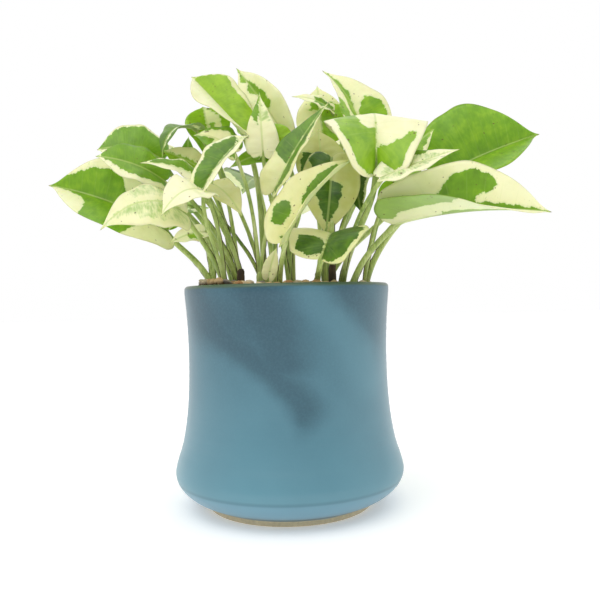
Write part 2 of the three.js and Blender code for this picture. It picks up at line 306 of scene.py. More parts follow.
def glazeMaterial(look):
    material, tree, surface = newMaterial("satinGlaze")
    place = objectPlace(tree)
    x, y, z = split(tree, place)
    cloud = noise(tree, place, 18, 3, 0.55)
    # the glaze is paler towards the foot and deeper towards the rim, mottled
    level = calc(tree, "ADD", step(tree, z, 0.0, 130 * mm, "LINEAR"), timesPlus(tree, cloud, 0.5, -0.25))
    body = ramp(tree, level, [(0.05, look["pale"]), (0.38, look["middle"]), (0.95, look["deep"])])
    # painted shadows of the leaves across the front, and a painted streak of light
    dark = frontBands(tree, (x, y, z), look["leafShadowBands"], cloud)
    bright = frontBands(tree, (x, y, z), look["lightStreakBands"], cloud)
    speck = step(tree, noise(tree, place, 900, 2, 0.6), 0.35, 0.75)
    body = paint(tree, body, dark, look["leafShadowStrength"], look["cloud"])
    body = blendColour(tree, bright, body, look["pale"])
    body = paint(tree, body, speck, look["grain"], look["pale"])
    # thin glaze over the lip, a crease and painted floor light on the band under the belly, a gathered line
    # above the foot
    ragged = timesPlus(tree, noise(tree, place, 90, 3), 1.6 * mm, z)
    for colour, strength, uneven, fades in look["rings"]:
        where = 1.0
        for low, high in fades:
            where = times(tree, where, step(tree, ragged if uneven else z, low * mm, high * mm))
        body = paint(tree, body, where, strength, look[colour])
    wavy = timesPlus(tree, noise(tree, place, 60, 2), 1.2 * mm, z)
    glazed = step(tree, wavy, look["glazeEnd"] * mm, (look["glazeEnd"] + 0.5) * mm)
    clay = blendColour(tree, noise(tree, place, 500, 4, 0.7), look["clay"], look["clayShade"])
    colour = blendColour(tree, glazed, clay, body)
    rough = timesPlus(tree, glazed, look["gloss"] - look["clayRoughness"], look["clayRoughness"])
    rough = timesPlus(tree, cloud, 0.10, rough)
    # throwing lines round the pot, and a fine pitted skin
    lines = calc(tree, "SINE", times(tree, z, 1400.0))
    tall = times(tree, lines, times(tree, cloud, 0.25))
    tall = timesPlus(tree, noise(tree, place, 420, 3, 0.5), 0.5, tall)
    fill(tree, surface, {"Base Color": colour, "Roughness": rough, "IOR": 1.5,
                         "Coat Weight": 0.25, "Coat Roughness": 0.22,
                         "Normal": bump(tree, tall, 0.12, 0.4 * mm)})
    return material


# Pot: its side is the model's own side, turned round the axis

potLook = {
    "side": [(49.0, 3.2), (58.2, 7.8), (64.4, 13.6), (66.8, 20.0), (65.6, 27.0), (62.3, 38.0),
             (59.8, 53.0), (58.5, 70.0), (58.2, 90.0), (58.9, 110.0), (60.0, 124.0)],
    "lip": [(60.0, 124.0), (59.9, 126.4), (59.1, 127.6), (57.9, 128.0), (56.6, 127.4),
            (55.7, 125.6), (55.4, 122.0)],
    "inside": [(54.4, 110.0), (53.8, 88.0), (54.6, 62.0), (57.9, 38.0), (62.1, 20.0),
               (59.4, 12.6), (48.0, 7.0)],
    "foot": [(0.0, 0.0), (44.0, 0.0), (47.4, 0.0), (48.0, 0.5), (48.0, 2.6), (48.3, 3.0)],
    "floor": [(30.0, 7.0), (0.0, 7.0)],
    "sides": 160,
}


def potSide(look):
    outer = catmull(look["side"], 9)
    lip = catmull(look["lip"], 5)[1:]
    inner = catmull(look["inside"], 4)
    # slow hand-thrown swells, too shallow to see but for the light on them
    height = outer[:, 1]
    swell = 0.10 * np.sin(height * 0.62) * np.clip((height - 12) / 20, 0, 1)
    outer[:, 0] -= np.abs(swell * np.clip((118 - height) / 10, 0, 1))
    return np.vstack([look["foot"], outer, lip, inner, look["floor"]])


def latheTree():
    tree, start, end = newGroup("turnedSide", [
        ("Sides", "NodeSocketInt", 64),
        ("Hub", "NodeSocketFloat", mm),
        ("Material", "NodeSocketMaterial", None),
    ])
    profile = addNode(tree, "GeometryNodeMeshToCurve", {"Mesh": start["Geometry"]})
    hub = addNode(tree, "GeometryNodeCurvePrimitiveCircle",
                  {"Resolution": start["Sides"], "Radius": start["Hub"]})
    turned = addNode(tree, "GeometryNodeCurveToMesh",
                     {"Curve": hub.outputs[0], "Profile Curve": profile.outputs[0]})
    closed = addNode(tree, "GeometryNodeMergeByDistance",
                     {"Geometry": turned.outputs[0], "Distance": 0.02 * mm})
    finishTree(tree, closed.outputs[0], start["Material"], end)
    return tree


def makePot(look, material):
    # the swept side stands in the hub circle's own axes: outward from the hub, and down
    hub = mm
    points = [(radius - hub, -height, 0.0) for radius, height in potSide(look) * mm]
    mesh = bpy.data.meshes.new("potSide")
    mesh.from_pydata(points, [(i, i + 1) for i in range(len(points) - 1)], [])
    values = {"Sides": look["sides"], "Hub": hub, "Material": material}
    pot = applyTree(newObject("potSide", mesh), latheTree(), values, "glazed_pot")
    turnOutwards(pot)
    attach(pot, "root")
    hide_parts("pot")


# Leaf blades: the model's own leaf, with finer faces. The fraction s runs along the margin from the notch
# at the stalk (0) to the tip (1); v runs across, from the midrib (0) to the left margin (1) or right (-1).

# how dark a leaf's green is and how warm its cream is are set per leaf: partly its own colour, partly
# painted shade on leaves deep in the plant, which shade darkens further
usual = {"arch": 0.1, "fold": (20, 20), "flatten": 0.4, "curl": -20, "belly": 0.3, "wave": 1, "waves": 2.5,
         "ground": "cream", "marks": [], "tone": 0.35, "shade": 0.0, "buff": 0.0, "fleck": 0.5}
halfWidth, widestAt = 0.36, 0.3
marginKnots = [(0, 0), (-0.05, 0.02), (-0.11, 0.11), (-0.07, 0.2), (-0.02, 0.3), (0.13, halfWidth),
               (widestAt, halfWidth), (0.52, halfWidth), (0.72, 0.21), (0.86, 0.08), (0.91, 0.035),
               (0.95, 0.012), (1, 0)]


def leaf(base, tip, face, width, **bends):
    length = math.dist(base, tip)
    return {**usual, "base": np.array(base, float), "chord": np.array(tip, float) - base,
            "face": np.array(face, float), "width": width, "length": length, **bends}


def marginLine():
    points = []
    for i in range(0, 12, 3):
        points.append(bezier(*(np.array(knot, float) for knot in marginKnots[i:i + 4]), 100))
    points = np.vstack(points)
    run = np.concatenate([[0], np.cumsum(np.linalg.norm(np.diff(points, axis=0), axis=1))])
    return points, run / run[-1]


marginPoints, marginRun = marginLine()


def flatPlace(blade, s, v):
    # place on the flat leaf, as shares of its length
    stretch = math.log(blade["belly"]) / math.log(widestAt)
    edgeX = np.interp(s, marginRun, marginPoints[:, 0])
    edgeY = np.interp(s, marginRun, marginPoints[:, 1])
    far = np.where(edgeX > 0, np.abs(edgeX) ** stretch, edgeX)
    root = s ** (1.5 * stretch)
    return root + (far - root) * np.abs(v), edgeY * v


def ribAt(blade, t):
    base, chord = blade["base"], blade["chord"]
    along = unit(chord)
    left = unit(np.cross(blade["face"], along))
    crest = base + 0.45 * chord + 2 * blade["arch"] * blade["length"] * np.cross(along, left)
    t = np.asarray(t, float)[..., None]
    centre = base * (1 - t) ** 2 + crest * 2 * t * (1 - t) + (base + chord) * t**2
    tangent = 2 * (1 - t) * (crest - base) + 2 * t * (base + chord - crest)
    return centre, tangent / np.linalg.norm(tangent, axis=-1, keepdims=True), left


def bladePoint(blade, x, y):
    t = np.clip(x, 0, 1)
    centre, tangent, left = ribAt(blade, t)
    centre = centre + tangent * ((x - t) * blade["length"])[..., None]
    up = np.cross(tangent, left)
    side = (y < 0).astype(int)
    across = np.minimum(np.abs(y) / halfWidth, 1)
    fold = np.array(blade["fold"], float)[side]
    lean = np.radians(fold * (1 - blade["flatten"] * t) + blade["curl"] * across / 2)
    reach = across * blade["width"] / 2
    ripple = blade["wave"] * across**2 * np.sin(2 * np.pi * blade["waves"] * x + side * 2.2)
    # shallow swellings between the side veins, and a ripple that the margin alone has
    quilt = 0.16 * np.sin(2 * np.pi * veinCount(blade) * np.sqrt(t)) * np.sin(np.pi * across) * (1 - t)
    frill = 0.28 * across**6 * np.sin(2 * np.pi * (5.3 * x + 0.3 * side) + blade["width"]) * (1 - t)
    sideways = left * (np.sign(y) * reach * np.cos(lean))[..., None]
    return centre + sideways + up * (reach * np.sin(lean) + ripple + quilt + frill)[..., None]


def veinCount(blade):
    return 6 + blade["width"] / 12


def insideBy(outline, x, y):
    # how far each point lies inside a closed outline; outside is negative
    depth = np.full(x.shape, 1e9)
    crossings = np.zeros(x.shape, int)
    for (ax, ay), (bx, by) in zip(outline, np.roll(outline, -1, 0)):
        dx, dy = bx - ax, by - ay
        span = dx * dx + dy * dy
        t = np.clip(((x - ax) * dx + (y - ay) * dy) / (span if span else 1), 0, 1)
        depth = np.minimum(depth, np.hypot(x - ax - t * dx, y - ay - t * dy))
        if dy:
            crossings += ((ay > y) != (by > y)) & (x < ax + dx * (y - ay) / dy)
    return np.where(crossings % 2 == 1, depth, -depth)


def green(corners):
    return "green", corners


def cream(corners):
    return "cream", corners


def pale(corners):
    return "pale", corners


def markOutline(blade, corners):
    # a mark's corners are written "s,v s,v ..." in hundredths; its sides are bent along the veins, in mm
    s, v = np.array([corner.split(",") for corner in corners.split()], float).T / 100
    s = np.concatenate([np.linspace(a, b, 6, endpoint=False) for a, b in zip(s, np.roll(s, -1))])
    v = np.concatenate([np.linspace(a, b, 6, endpoint=False) for a, b in zip(v, np.roll(v, -1))])
    x, y = flatPlace(blade, np.clip(s, 0, 1), v)
    return np.stack([x * blade["length"], y * blade["width"] / (2 * halfWidth)], 1)


def markDepths(blade, x, y):
    # how far inside the green and the pale green each point lies, in mm
    x = x * blade["length"]
    y = y * blade["width"] / (2 * halfWidth)
    inGreen = np.full(x.shape, 6.0 if blade["ground"] == "green" else -6.0)
    inPale = np.full(x.shape, -6.0)
    for kind, corners in blade["marks"]:
        # each mark lies over those before it
        inside = insideBy(markOutline(blade, corners), x, y)
        if kind == "green":
            inGreen = np.maximum(inGreen, inside)
        else:
            inGreen = np.minimum(inGreen, -inside)
        if kind == "pale":
            inPale = np.maximum(inPale, inside)
        else:
            inPale = np.minimum(inPale, -inside)
    return inGreen, inPale


bladeLook = {
    "thickness": 0.42,
    "edgeShare": 0.45,
    "grooveDepth": 0.5,
    "ribHeight": 0.75,
    "ribWidth": 1.0,
    "largeLeaf": 38,
    "largeCells": (72, 30),
    "smallCells": (44, 18),
}


def bladeMesh(blade, seed, look):
    # both faces of a blade, the wall round its margin, and what its material reads at each point
    ribs, cells = look["largeCells"] if blade["width"] > look["largeLeaf"] else look["smallCells"]
    s = np.linspace(0, 1, ribs + 1)[:, None]
    lean = np.linspace(-1, 1, cells + 1)[None, :]
    v = np.sign(lean) * np.abs(lean) ** 1.15
    s, v = np.broadcast_arrays(s, v)
    x, y = flatPlace(blade, s, v)
    middle = bladePoint(blade, x, y)
    alongStep = np.gradient(middle, axis=0)
    acrossStep = np.gradient(middle, axis=1)
    normal = np.cross(alongStep, acrossStep)
    normal[0], normal[-1] = normal[1], normal[-2]
    normal /= np.maximum(np.linalg.norm(normal, axis=-1, keepdims=True), 1e-9)
    fromRib = np.abs(y) * blade["width"] / (2 * halfWidth)
    fade = np.clip(1.15 - s, 0, 1) * min(1, blade["width"] / 30)
    thick = look["thickness"] * (1 - (1 - look["edgeShare"]) * np.abs(v) ** 4) / 2
    groove = look["grooveDepth"] * np.exp(-(fromRib / look["ribWidth"]) ** 2) * fade
    ridge = np.exp(-(fromRib / (0.9 * look["ribWidth"])) ** 2)
    ridge = (look["ribHeight"] + look["grooveDepth"]) * ridge * fade
    upper = middle + normal * (thick - groove)[..., None]
    lower = middle - normal * (thick + ridge - 0.3 * groove)[..., None]
    ends = np.stack([middle[0, 0], middle[-1, 0]])
    count = (ribs - 1) * (cells + 1)
    points = np.vstack([upper[1:-1].reshape(-1, 3), lower[1:-1].reshape(-1, 3), ends])
    start, tip = 2 * count, 2 * count + 1
    faces = []
    row = cells + 1
    for shift, flip in ((0, False), (count, True)):
        for i in range(ribs - 2):
            a = shift + i * row
            for j in range(cells):
                quad = (a + j, a + row + j, a + row + j + 1, a + j + 1)
                faces.append(quad[::-1] if flip else quad)
        last = shift + (ribs - 2) * row
        for j in range(cells):
            first = (start, shift + j, shift + j + 1)
            final = (tip, last + j + 1, last + j)
            faces += [first[::-1], final[::-1]] if flip else [first, final]
    for i in range(ribs - 2):
        for j, flip in ((0, True), (cells, False)):
            a, b = i * row + j, (i + 1) * row + j
            quad = (a, b, count + b, count + a)
            faces.append(quad[::-1] if flip else quad)
    last = (ribs - 2) * row
    faces += [(start, count, 0), (start, cells, count + cells),
              (tip, last, count + last), (tip, count + last + cells, last + cells)]
    inGreen, inPale = markDepths(blade, x, y)

    def spread(values):
        # from the grid to the points of the upper face, the lower face and the two ends
        inner = values[1:-1].reshape(-1)
        return np.concatenate([inner, inner, [values[0, 0], values[-1, 0]]])

    flatX = spread(x * blade["length"])
    flatY = spread(y * blade["width"] / (2 * halfWidth))
    return {
        "points": points * mm,
        "faces": faces,
        "marks": np.stack([spread(inGreen), spread(inPale), spread(s * veinCount(blade))], 1),
        "flat": np.stack([flatX, flatY, np.full(len(flatX), 7.3 * seed)], 1),
        "tone": np.tile([blade["tone"], blade["buff"], blade["fleck"]], (len(flatX), 1)),
        "under": np.concatenate([np.zeros(count), np.ones(count), [0.5, 0.5]]),
        "shade": np.full(len(flatX), blade["shade"]),
        "margin": spread(np.abs(v)),
        "run": spread(s),
    }


# Leaf colours

foliageLook = {
    "bright": rgb(168, 206, 46),
    "middle": rgb(120, 166, 28),
    "dark": rgb(52, 90, 16),
    "cream": rgb(250, 250, 202),
    "buff": rgb(206, 206, 112),
    "pale": rgb(198, 216, 140),
    "mint": rgb(176, 206, 116),
    "deepMint": rgb(142, 176, 88),
    "rib": rgb(196, 214, 124),
    "margin": rgb(150, 150, 70),
    "brown": rgb(104, 78, 30),
    "shade": rgb(60, 92, 20),
    "gloss": 0.36,
}


def bladeMaterial(look):
    material, tree, surface = newMaterial("marbledLeaf")
    depth, paleDepth, vein = split(tree, attributeOf(tree, "marks"))
    flat = attributeOf(tree, "flat")
    y, seed = split(tree, flat)[1:]
    tone, buff, fleck = split(tree, attributeOf(tree, "tone"))
    under, margin, run, shade = (attributeOf(tree, name, False)
                                 for name in ("under", "margin", "run", "shade"))
    away = calc(tree, "ABSOLUTE", y)
    # streaks lie along the side veins: fine across them, long beside them
    seeded = timesPlus(tree, calc(tree, "SIGN", y), 3.1, seed)
    streaked = together(tree, times(tree, vein, 2.6), times(tree, away, 0.10), seeded)
    streak = noise(tree, streaked, 2.2, 3, 0.6)
    broad = noise(tree, flat, 0.16, 2, 0.5)
    fine = noise(tree, flat, 0.9, 3, 0.6)
    # the edge of a mark runs out in scallops between the veins
    wave = calc(tree, "SINE", times(tree, vein, 2 * math.pi))
    ragged = timesPlus(tree, wave, 0.4, timesPlus(tree, streak, 2.4, -1.2))
    ragged = aroundHalf(tree, fine, 1.5, ragged)
    edge = calc(tree, "ADD", depth, ragged)
    halo = step(tree, edge, -1.5, 0.3)
    paleEdge = step(tree, calc(tree, "ADD", paleDepth, ragged), -0.5, 0.8)
    # stray flecks beside the marks
    near = step(tree, calc(tree, "ABSOLUTE", depth), 7.0, 1.0)
    freckle = times(tree, step(tree, streak, 0.66, 0.70), times(tree, near, fleck))
    freckle = times(tree, freckle, step(tree, fine, 0.48, 0.52))
    marked = calc(tree, "ADD", step(tree, edge, -0.12, 0.2), freckle)
    marked = addNode(tree, "ShaderNodeClamp", {"Value": marked}).outputs[0]

    # greens from bright to dark, cream from white to olive: partly the leaves' own colours, partly painted
    # light and shade, brighter on lit leaves and darker deep in the plant
    mottled = aroundHalf(tree, streak, 0.32, aroundHalf(tree, broad, 0.55, tone))
    leafGreen = ramp(tree, mottled, [(0.0, look["bright"]), (0.4, look["middle"]), (1.0, look["dark"])])
    paleGreen = blendColour(tree, tone, look["mint"], look["deepMint"])
    warm = aroundHalf(tree, broad, 0.5, buff)
    colour = ramp(tree, warm, [(0.0, look["cream"]), (1.0, look["buff"])])
    colour = paint(tree, colour, halo, 0.45, look["pale"])
    marbling = times(tree, paleEdge, step(tree, calc(tree, "ADD", streak, broad), 0.65, 1.45))
    colour = blendColour(tree, marbling, colour, paleGreen)
    colour = blendColour(tree, marked, colour, leafGreen)
    # the midrib and the side veins are a little lighter than the blade, and the underside is paler
    rib = times(tree, step(tree, away, 0.9, 0.35), 0.5)
    veinLine = calc(tree, "ABSOLUTE", calc(tree, "SINE", times(tree, vein, math.pi)))
    veinLine = times(tree, step(tree, veinLine, 0.16, 0.0), step(tree, margin, 0.95, 0.5))
    lines = calc(tree, "MAXIMUM", rib, times(tree, veinLine, 0.10))
    colour = blendColour(tree, lines, colour, look["rib"])
    colour = blendColour(tree, under, colour, blendColour(tree, 0.35, colour, look["pale"]))
    colour = paint(tree, colour, step(tree, margin, 0.97, 1.0), 0.35, look["margin"])
    # the very tip is brown and dry, and a few brown specks lie here and there
    tip = times(tree, step(tree, run, 0.975, 0.995), 0.75)
    speck = times(tree, step(tree, noise(tree, flat, 0.55, 0, 0.5), 0.80, 0.83), 0.8)
    colour = blendColour(tree, calc(tree, "MAXIMUM", tip, speck), colour, look["brown"])
    colour = blendColour(tree, shade, colour, look["shade"], "MULTIPLY")
    rough = timesPlus(tree, fine, 0.14, look["gloss"] - 0.05)
    rough = timesPlus(tree, under, 0.14, rough)
    cells = noise(tree, flat, 3.2, 2, 0.6)
    height = timesPlus(tree, wave, 0.5, timesPlus(tree, cells, 0.35, streak))
    fill(tree, surface, {"Base Color": colour, "Roughness": rough, "IOR": 1.42,
                         "Subsurface Weight": 0.2, "Subsurface Scale": 1.2 * mm,
                         "Subsurface Radius": (0.6, 1.0, 0.2),
                         "Coat Weight": 0.18, "Coat Roughness": 0.25,
                         "Normal": bump(tree, height, 0.35, 0.25 * mm)})
    return material


# Stalks

stalkLook = {
    "light": rgb(212, 218, 160),
    "middle": rgb(172, 190, 104),
    "dark": rgb(112, 142, 56),
    "dried": rgb(30, 22, 14),
    "papery": rgb(92, 72, 44),
    "radius": (1.15, 1.85),
    "leafWidth": (15, 60),
    "sides": 14,
    "crownRadius": 2.7,
    "crownFoot": 98,
    "crownShows": 118,
    "crownTop": 128,
}


def stalkMaterial(look):
    material, tree, surface = newMaterial("leafStalk")
    streak = noise(tree, stretchedPlace(tree, 900.0, 90.0), 1.0, 3, 0.6)
    cloud = noise(tree, objectPlace(tree), 60, 2, 0.5)
    level = timesPlus(tree, cloud, 0.9, timesPlus(tree, streak, 0.8, -0.45))
    colour = ramp(tree, level, [(0.15, look["dark"]), (0.45, look["middle"]), (0.8, look["light"])])
    foot = step(tree, attributeOf(tree, "along", False), 0.14, 0.0)
    colour = paint(tree, colour, foot, 0.5, look["papery"])
    fill(tree, surface, {"Base Color": colour, "Roughness": timesPlus(tree, streak, 0.2, 0.32),
                         "Subsurface Weight": 0.1, "Subsurface Scale": mm,
                         "Subsurface Radius": (0.6, 1.0, 0.2),
                         "Normal": bump(tree, streak, 0.3, 0.2 * mm)})
    return material


def driedMaterial(look):
    material, tree, surface = newMaterial("driedSheath")
    fibre = noise(tree, stretchedPlace(tree, 700.0, 150.0), 1.0, 4, 0.7)
    colour = ramp(tree, fibre, [(0.3, look["dried"]), (0.75, look["papery"])])
    fill(tree, surface, {"Base Color": colour, "Roughness": timesPlus(tree, fibre, 0.3, 0.6),
                         "Normal": bump(tree, fibre, 0.6, 0.4 * mm)})
    return material


def tubeTree():
    # tubes along every line of the mesh, as thick as each point's own thickness, closed at their ends
    tree, start, end = newGroup("tubes", [
        ("Sides", "NodeSocketInt", 12),
        ("Material", "NodeSocketMaterial", None),
    ])
    lines = addNode(tree, "GeometryNodeMeshToCurve", {"Mesh": start["Geometry"]})
    thickness = addNode(tree, "GeometryNodeInputNamedAttribute", {"Name": "thickness"})
    ring = addNode(tree, "GeometryNodeCurvePrimitiveCircle", {"Resolution": start["Sides"], "Radius": 1.0})
    swept = addNode(tree, "GeometryNodeCurveToMesh", {
        "Curve": lines.outputs[0], "Profile Curve": ring.outputs[0],
        "Scale": thickness.outputs[0], "Fill Caps": True})
    finishTree(tree, swept.outputs[0], start["Material"], end)
    return tree


tubes = tubeTree()


def makeTubes(name, lines, sides, material):
    # each line is (points, radii), in mm
    points, edges, thickness, along = [], [], [], []
    for path, radii in lines:
        first = len(points)
        points += list(np.array(path) * mm)
        edges += [(first + i, first + i + 1) for i in range(len(path) - 1)]
        thickness += list(np.array(radii) * mm)
        along += list(np.linspace(0, 1, len(path)))
    mesh = bpy.data.meshes.new(name)
    mesh.from_pydata([tuple(p) for p in points], edges, [])
    addAttribute(mesh, "thickness", thickness)
    addAttribute(mesh, "along", along)
    made = applyTree(newObject(name, mesh), tubes, {"Sides": sides, "Material": material}, name)
    turnOutwards(made)
    return made


def stalkLine(root, top, blade, look):
    # from the crown up to the blade, then a little way under its midrib
    start = np.array([*root, top - 5.0])
    centre, tangent, left = ribAt(blade, [0.0, 0.1])
    up = np.cross(tangent, left)
    end = centre[0] - 0.8 * up[0]
    height = math.dist(start, end)
    rise = start + 0.16 * (end - start) + np.array([0, 0, 0.26 * height])
    bend = unit(tangent[0] + np.array([0, 0, 0.7]))
    path = bezier(start, rise, end - 0.3 * height * bend, end, 30)
    path = np.vstack([path, centre[1] - 0.5 * up[1]])
    share = np.clip((blade["width"] - look["leafWidth"][0]) / np.ptp(look["leafWidth"]), 0, 1)
    radius = look["radius"][0] + np.ptp(look["radius"]) * share * share * (3 - 2 * share)
    t = np.linspace(0, 1, 30)
    # swollen at the foot, a little knee below the blade
    knee = np.exp(-((t - 0.93) / 0.05) ** 2)
    radii = radius * (1 + 0.25 * np.exp(-(t / 0.12) ** 2) - 0.12 * t + 0.12 * knee)
    return path, np.append(radii, 0.35)


def sheathLine(path, radii, side, share):
    # the dried edge of the sheath, on one side of the stalk and up part of its height
    count = int(len(path) * share)
    line, thin = path[:count], radii[:count]
    run = np.gradient(line, axis=0)
    aside = np.cross(run, [0.0, 1.0, 0.15])
    aside /= np.linalg.norm(aside, axis=1, keepdims=True)
    t = np.linspace(0, 1, count)
    wobble = 0.12 * np.sin(23 * t + side)
    line = line + aside * (side * (thin * 0.96 + wobble))[:, None] - [0, 0.3, 0]
    return line, 0.26 * (1 - t) ** 0.5 + 0.08


def crownLine(root, top, look):
    # thinner upwards, with ring scars where it shows
    z = np.linspace(look["crownFoot"], top, 26)
    shown = z - look["crownShows"]
    t = np.clip(shown / (top - look["crownShows"]), 0, 1)
    rings = 0.28 * np.clip(np.sin(shown * 1.9) - 0.55, 0, 1)
    radii = look["crownRadius"] * (0.94 - 0.2 * t) + rings
    radii[-1] = 0.7 * radii[-2]
    return np.stack([np.full_like(z, root[0]), np.full_like(z, root[1]), z], 1), radii


def join(things, name):
    bpy.ops.object.select_all(action="DESELECT")
    for thing in things:
        thing.select_set(True)
    bpy.context.view_layer.objects.active = things[0]
    bpy.ops.object.join()
    things[0].name = name
    things[0].data.name = name
    return things[0]


def makeShoot(node, shoot, seed, materials):
    root, top = shoot["root"], shoot.get("top", stalkLook["crownTop"])
    parts = [bladeMesh(blade, seed + 0.37 * i, bladeLook) for i, blade in enumerate(shoot["leaves"])]
    faces, first = [], 0
    for part in parts:
        faces += [tuple(first + corner for corner in face) for face in part["faces"]]
        first += len(part["points"])
    mesh = newMesh(node, np.vstack([part["points"] for part in parts]), faces)
    for name in ("marks", "flat", "tone", "under", "shade", "margin", "run"):
        values = np.concatenate([part[name] for part in parts])
        addAttribute(mesh, name, values, "FLOAT_VECTOR" if values.ndim == 2 else "FLOAT")
    mesh.shade_smooth()
    mesh.materials.append(materials["blade"])
    blades = newObject(node + "_blades", mesh)
    turnOutwards(blades)

    lines, dried = [], []
    for i, blade in enumerate(shoot["leaves"]):
        path, radii = stalkLine(root, top, blade, stalkLook)
        lines.append((path, radii))
        # how far up its stalk the dried sheath reaches, and on which side, differs from leaf to leaf
        share = 0.35 + 0.4 * ((seed * 0.37 + i * 0.61) % 1)
        dried.append(sheathLine(path, radii, 1 if (seed + i) % 2 else -1, share))
    stalks = makeTubes(node + "_stalks", lines, stalkLook["sides"], materials["stalk"])
    crown = makeTubes(node + "_crown", [crownLine(root, top, stalkLook)], 18,
                      materials[shoot.get("crown", "stalk")])
    sheaths = makeTubes(node + "_sheaths", dried, 6, materials["dried"])
    plant = join([blades, stalks, crown, sheaths], "leafy_" + node)
    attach(plant, "root")
    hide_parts(node)


# The plant: every shoot's root on the soil, and its leaves, each with where its blade starts and where it
# ends, which way it faces, and its width, and then its bends and its marks with corners in hundredths

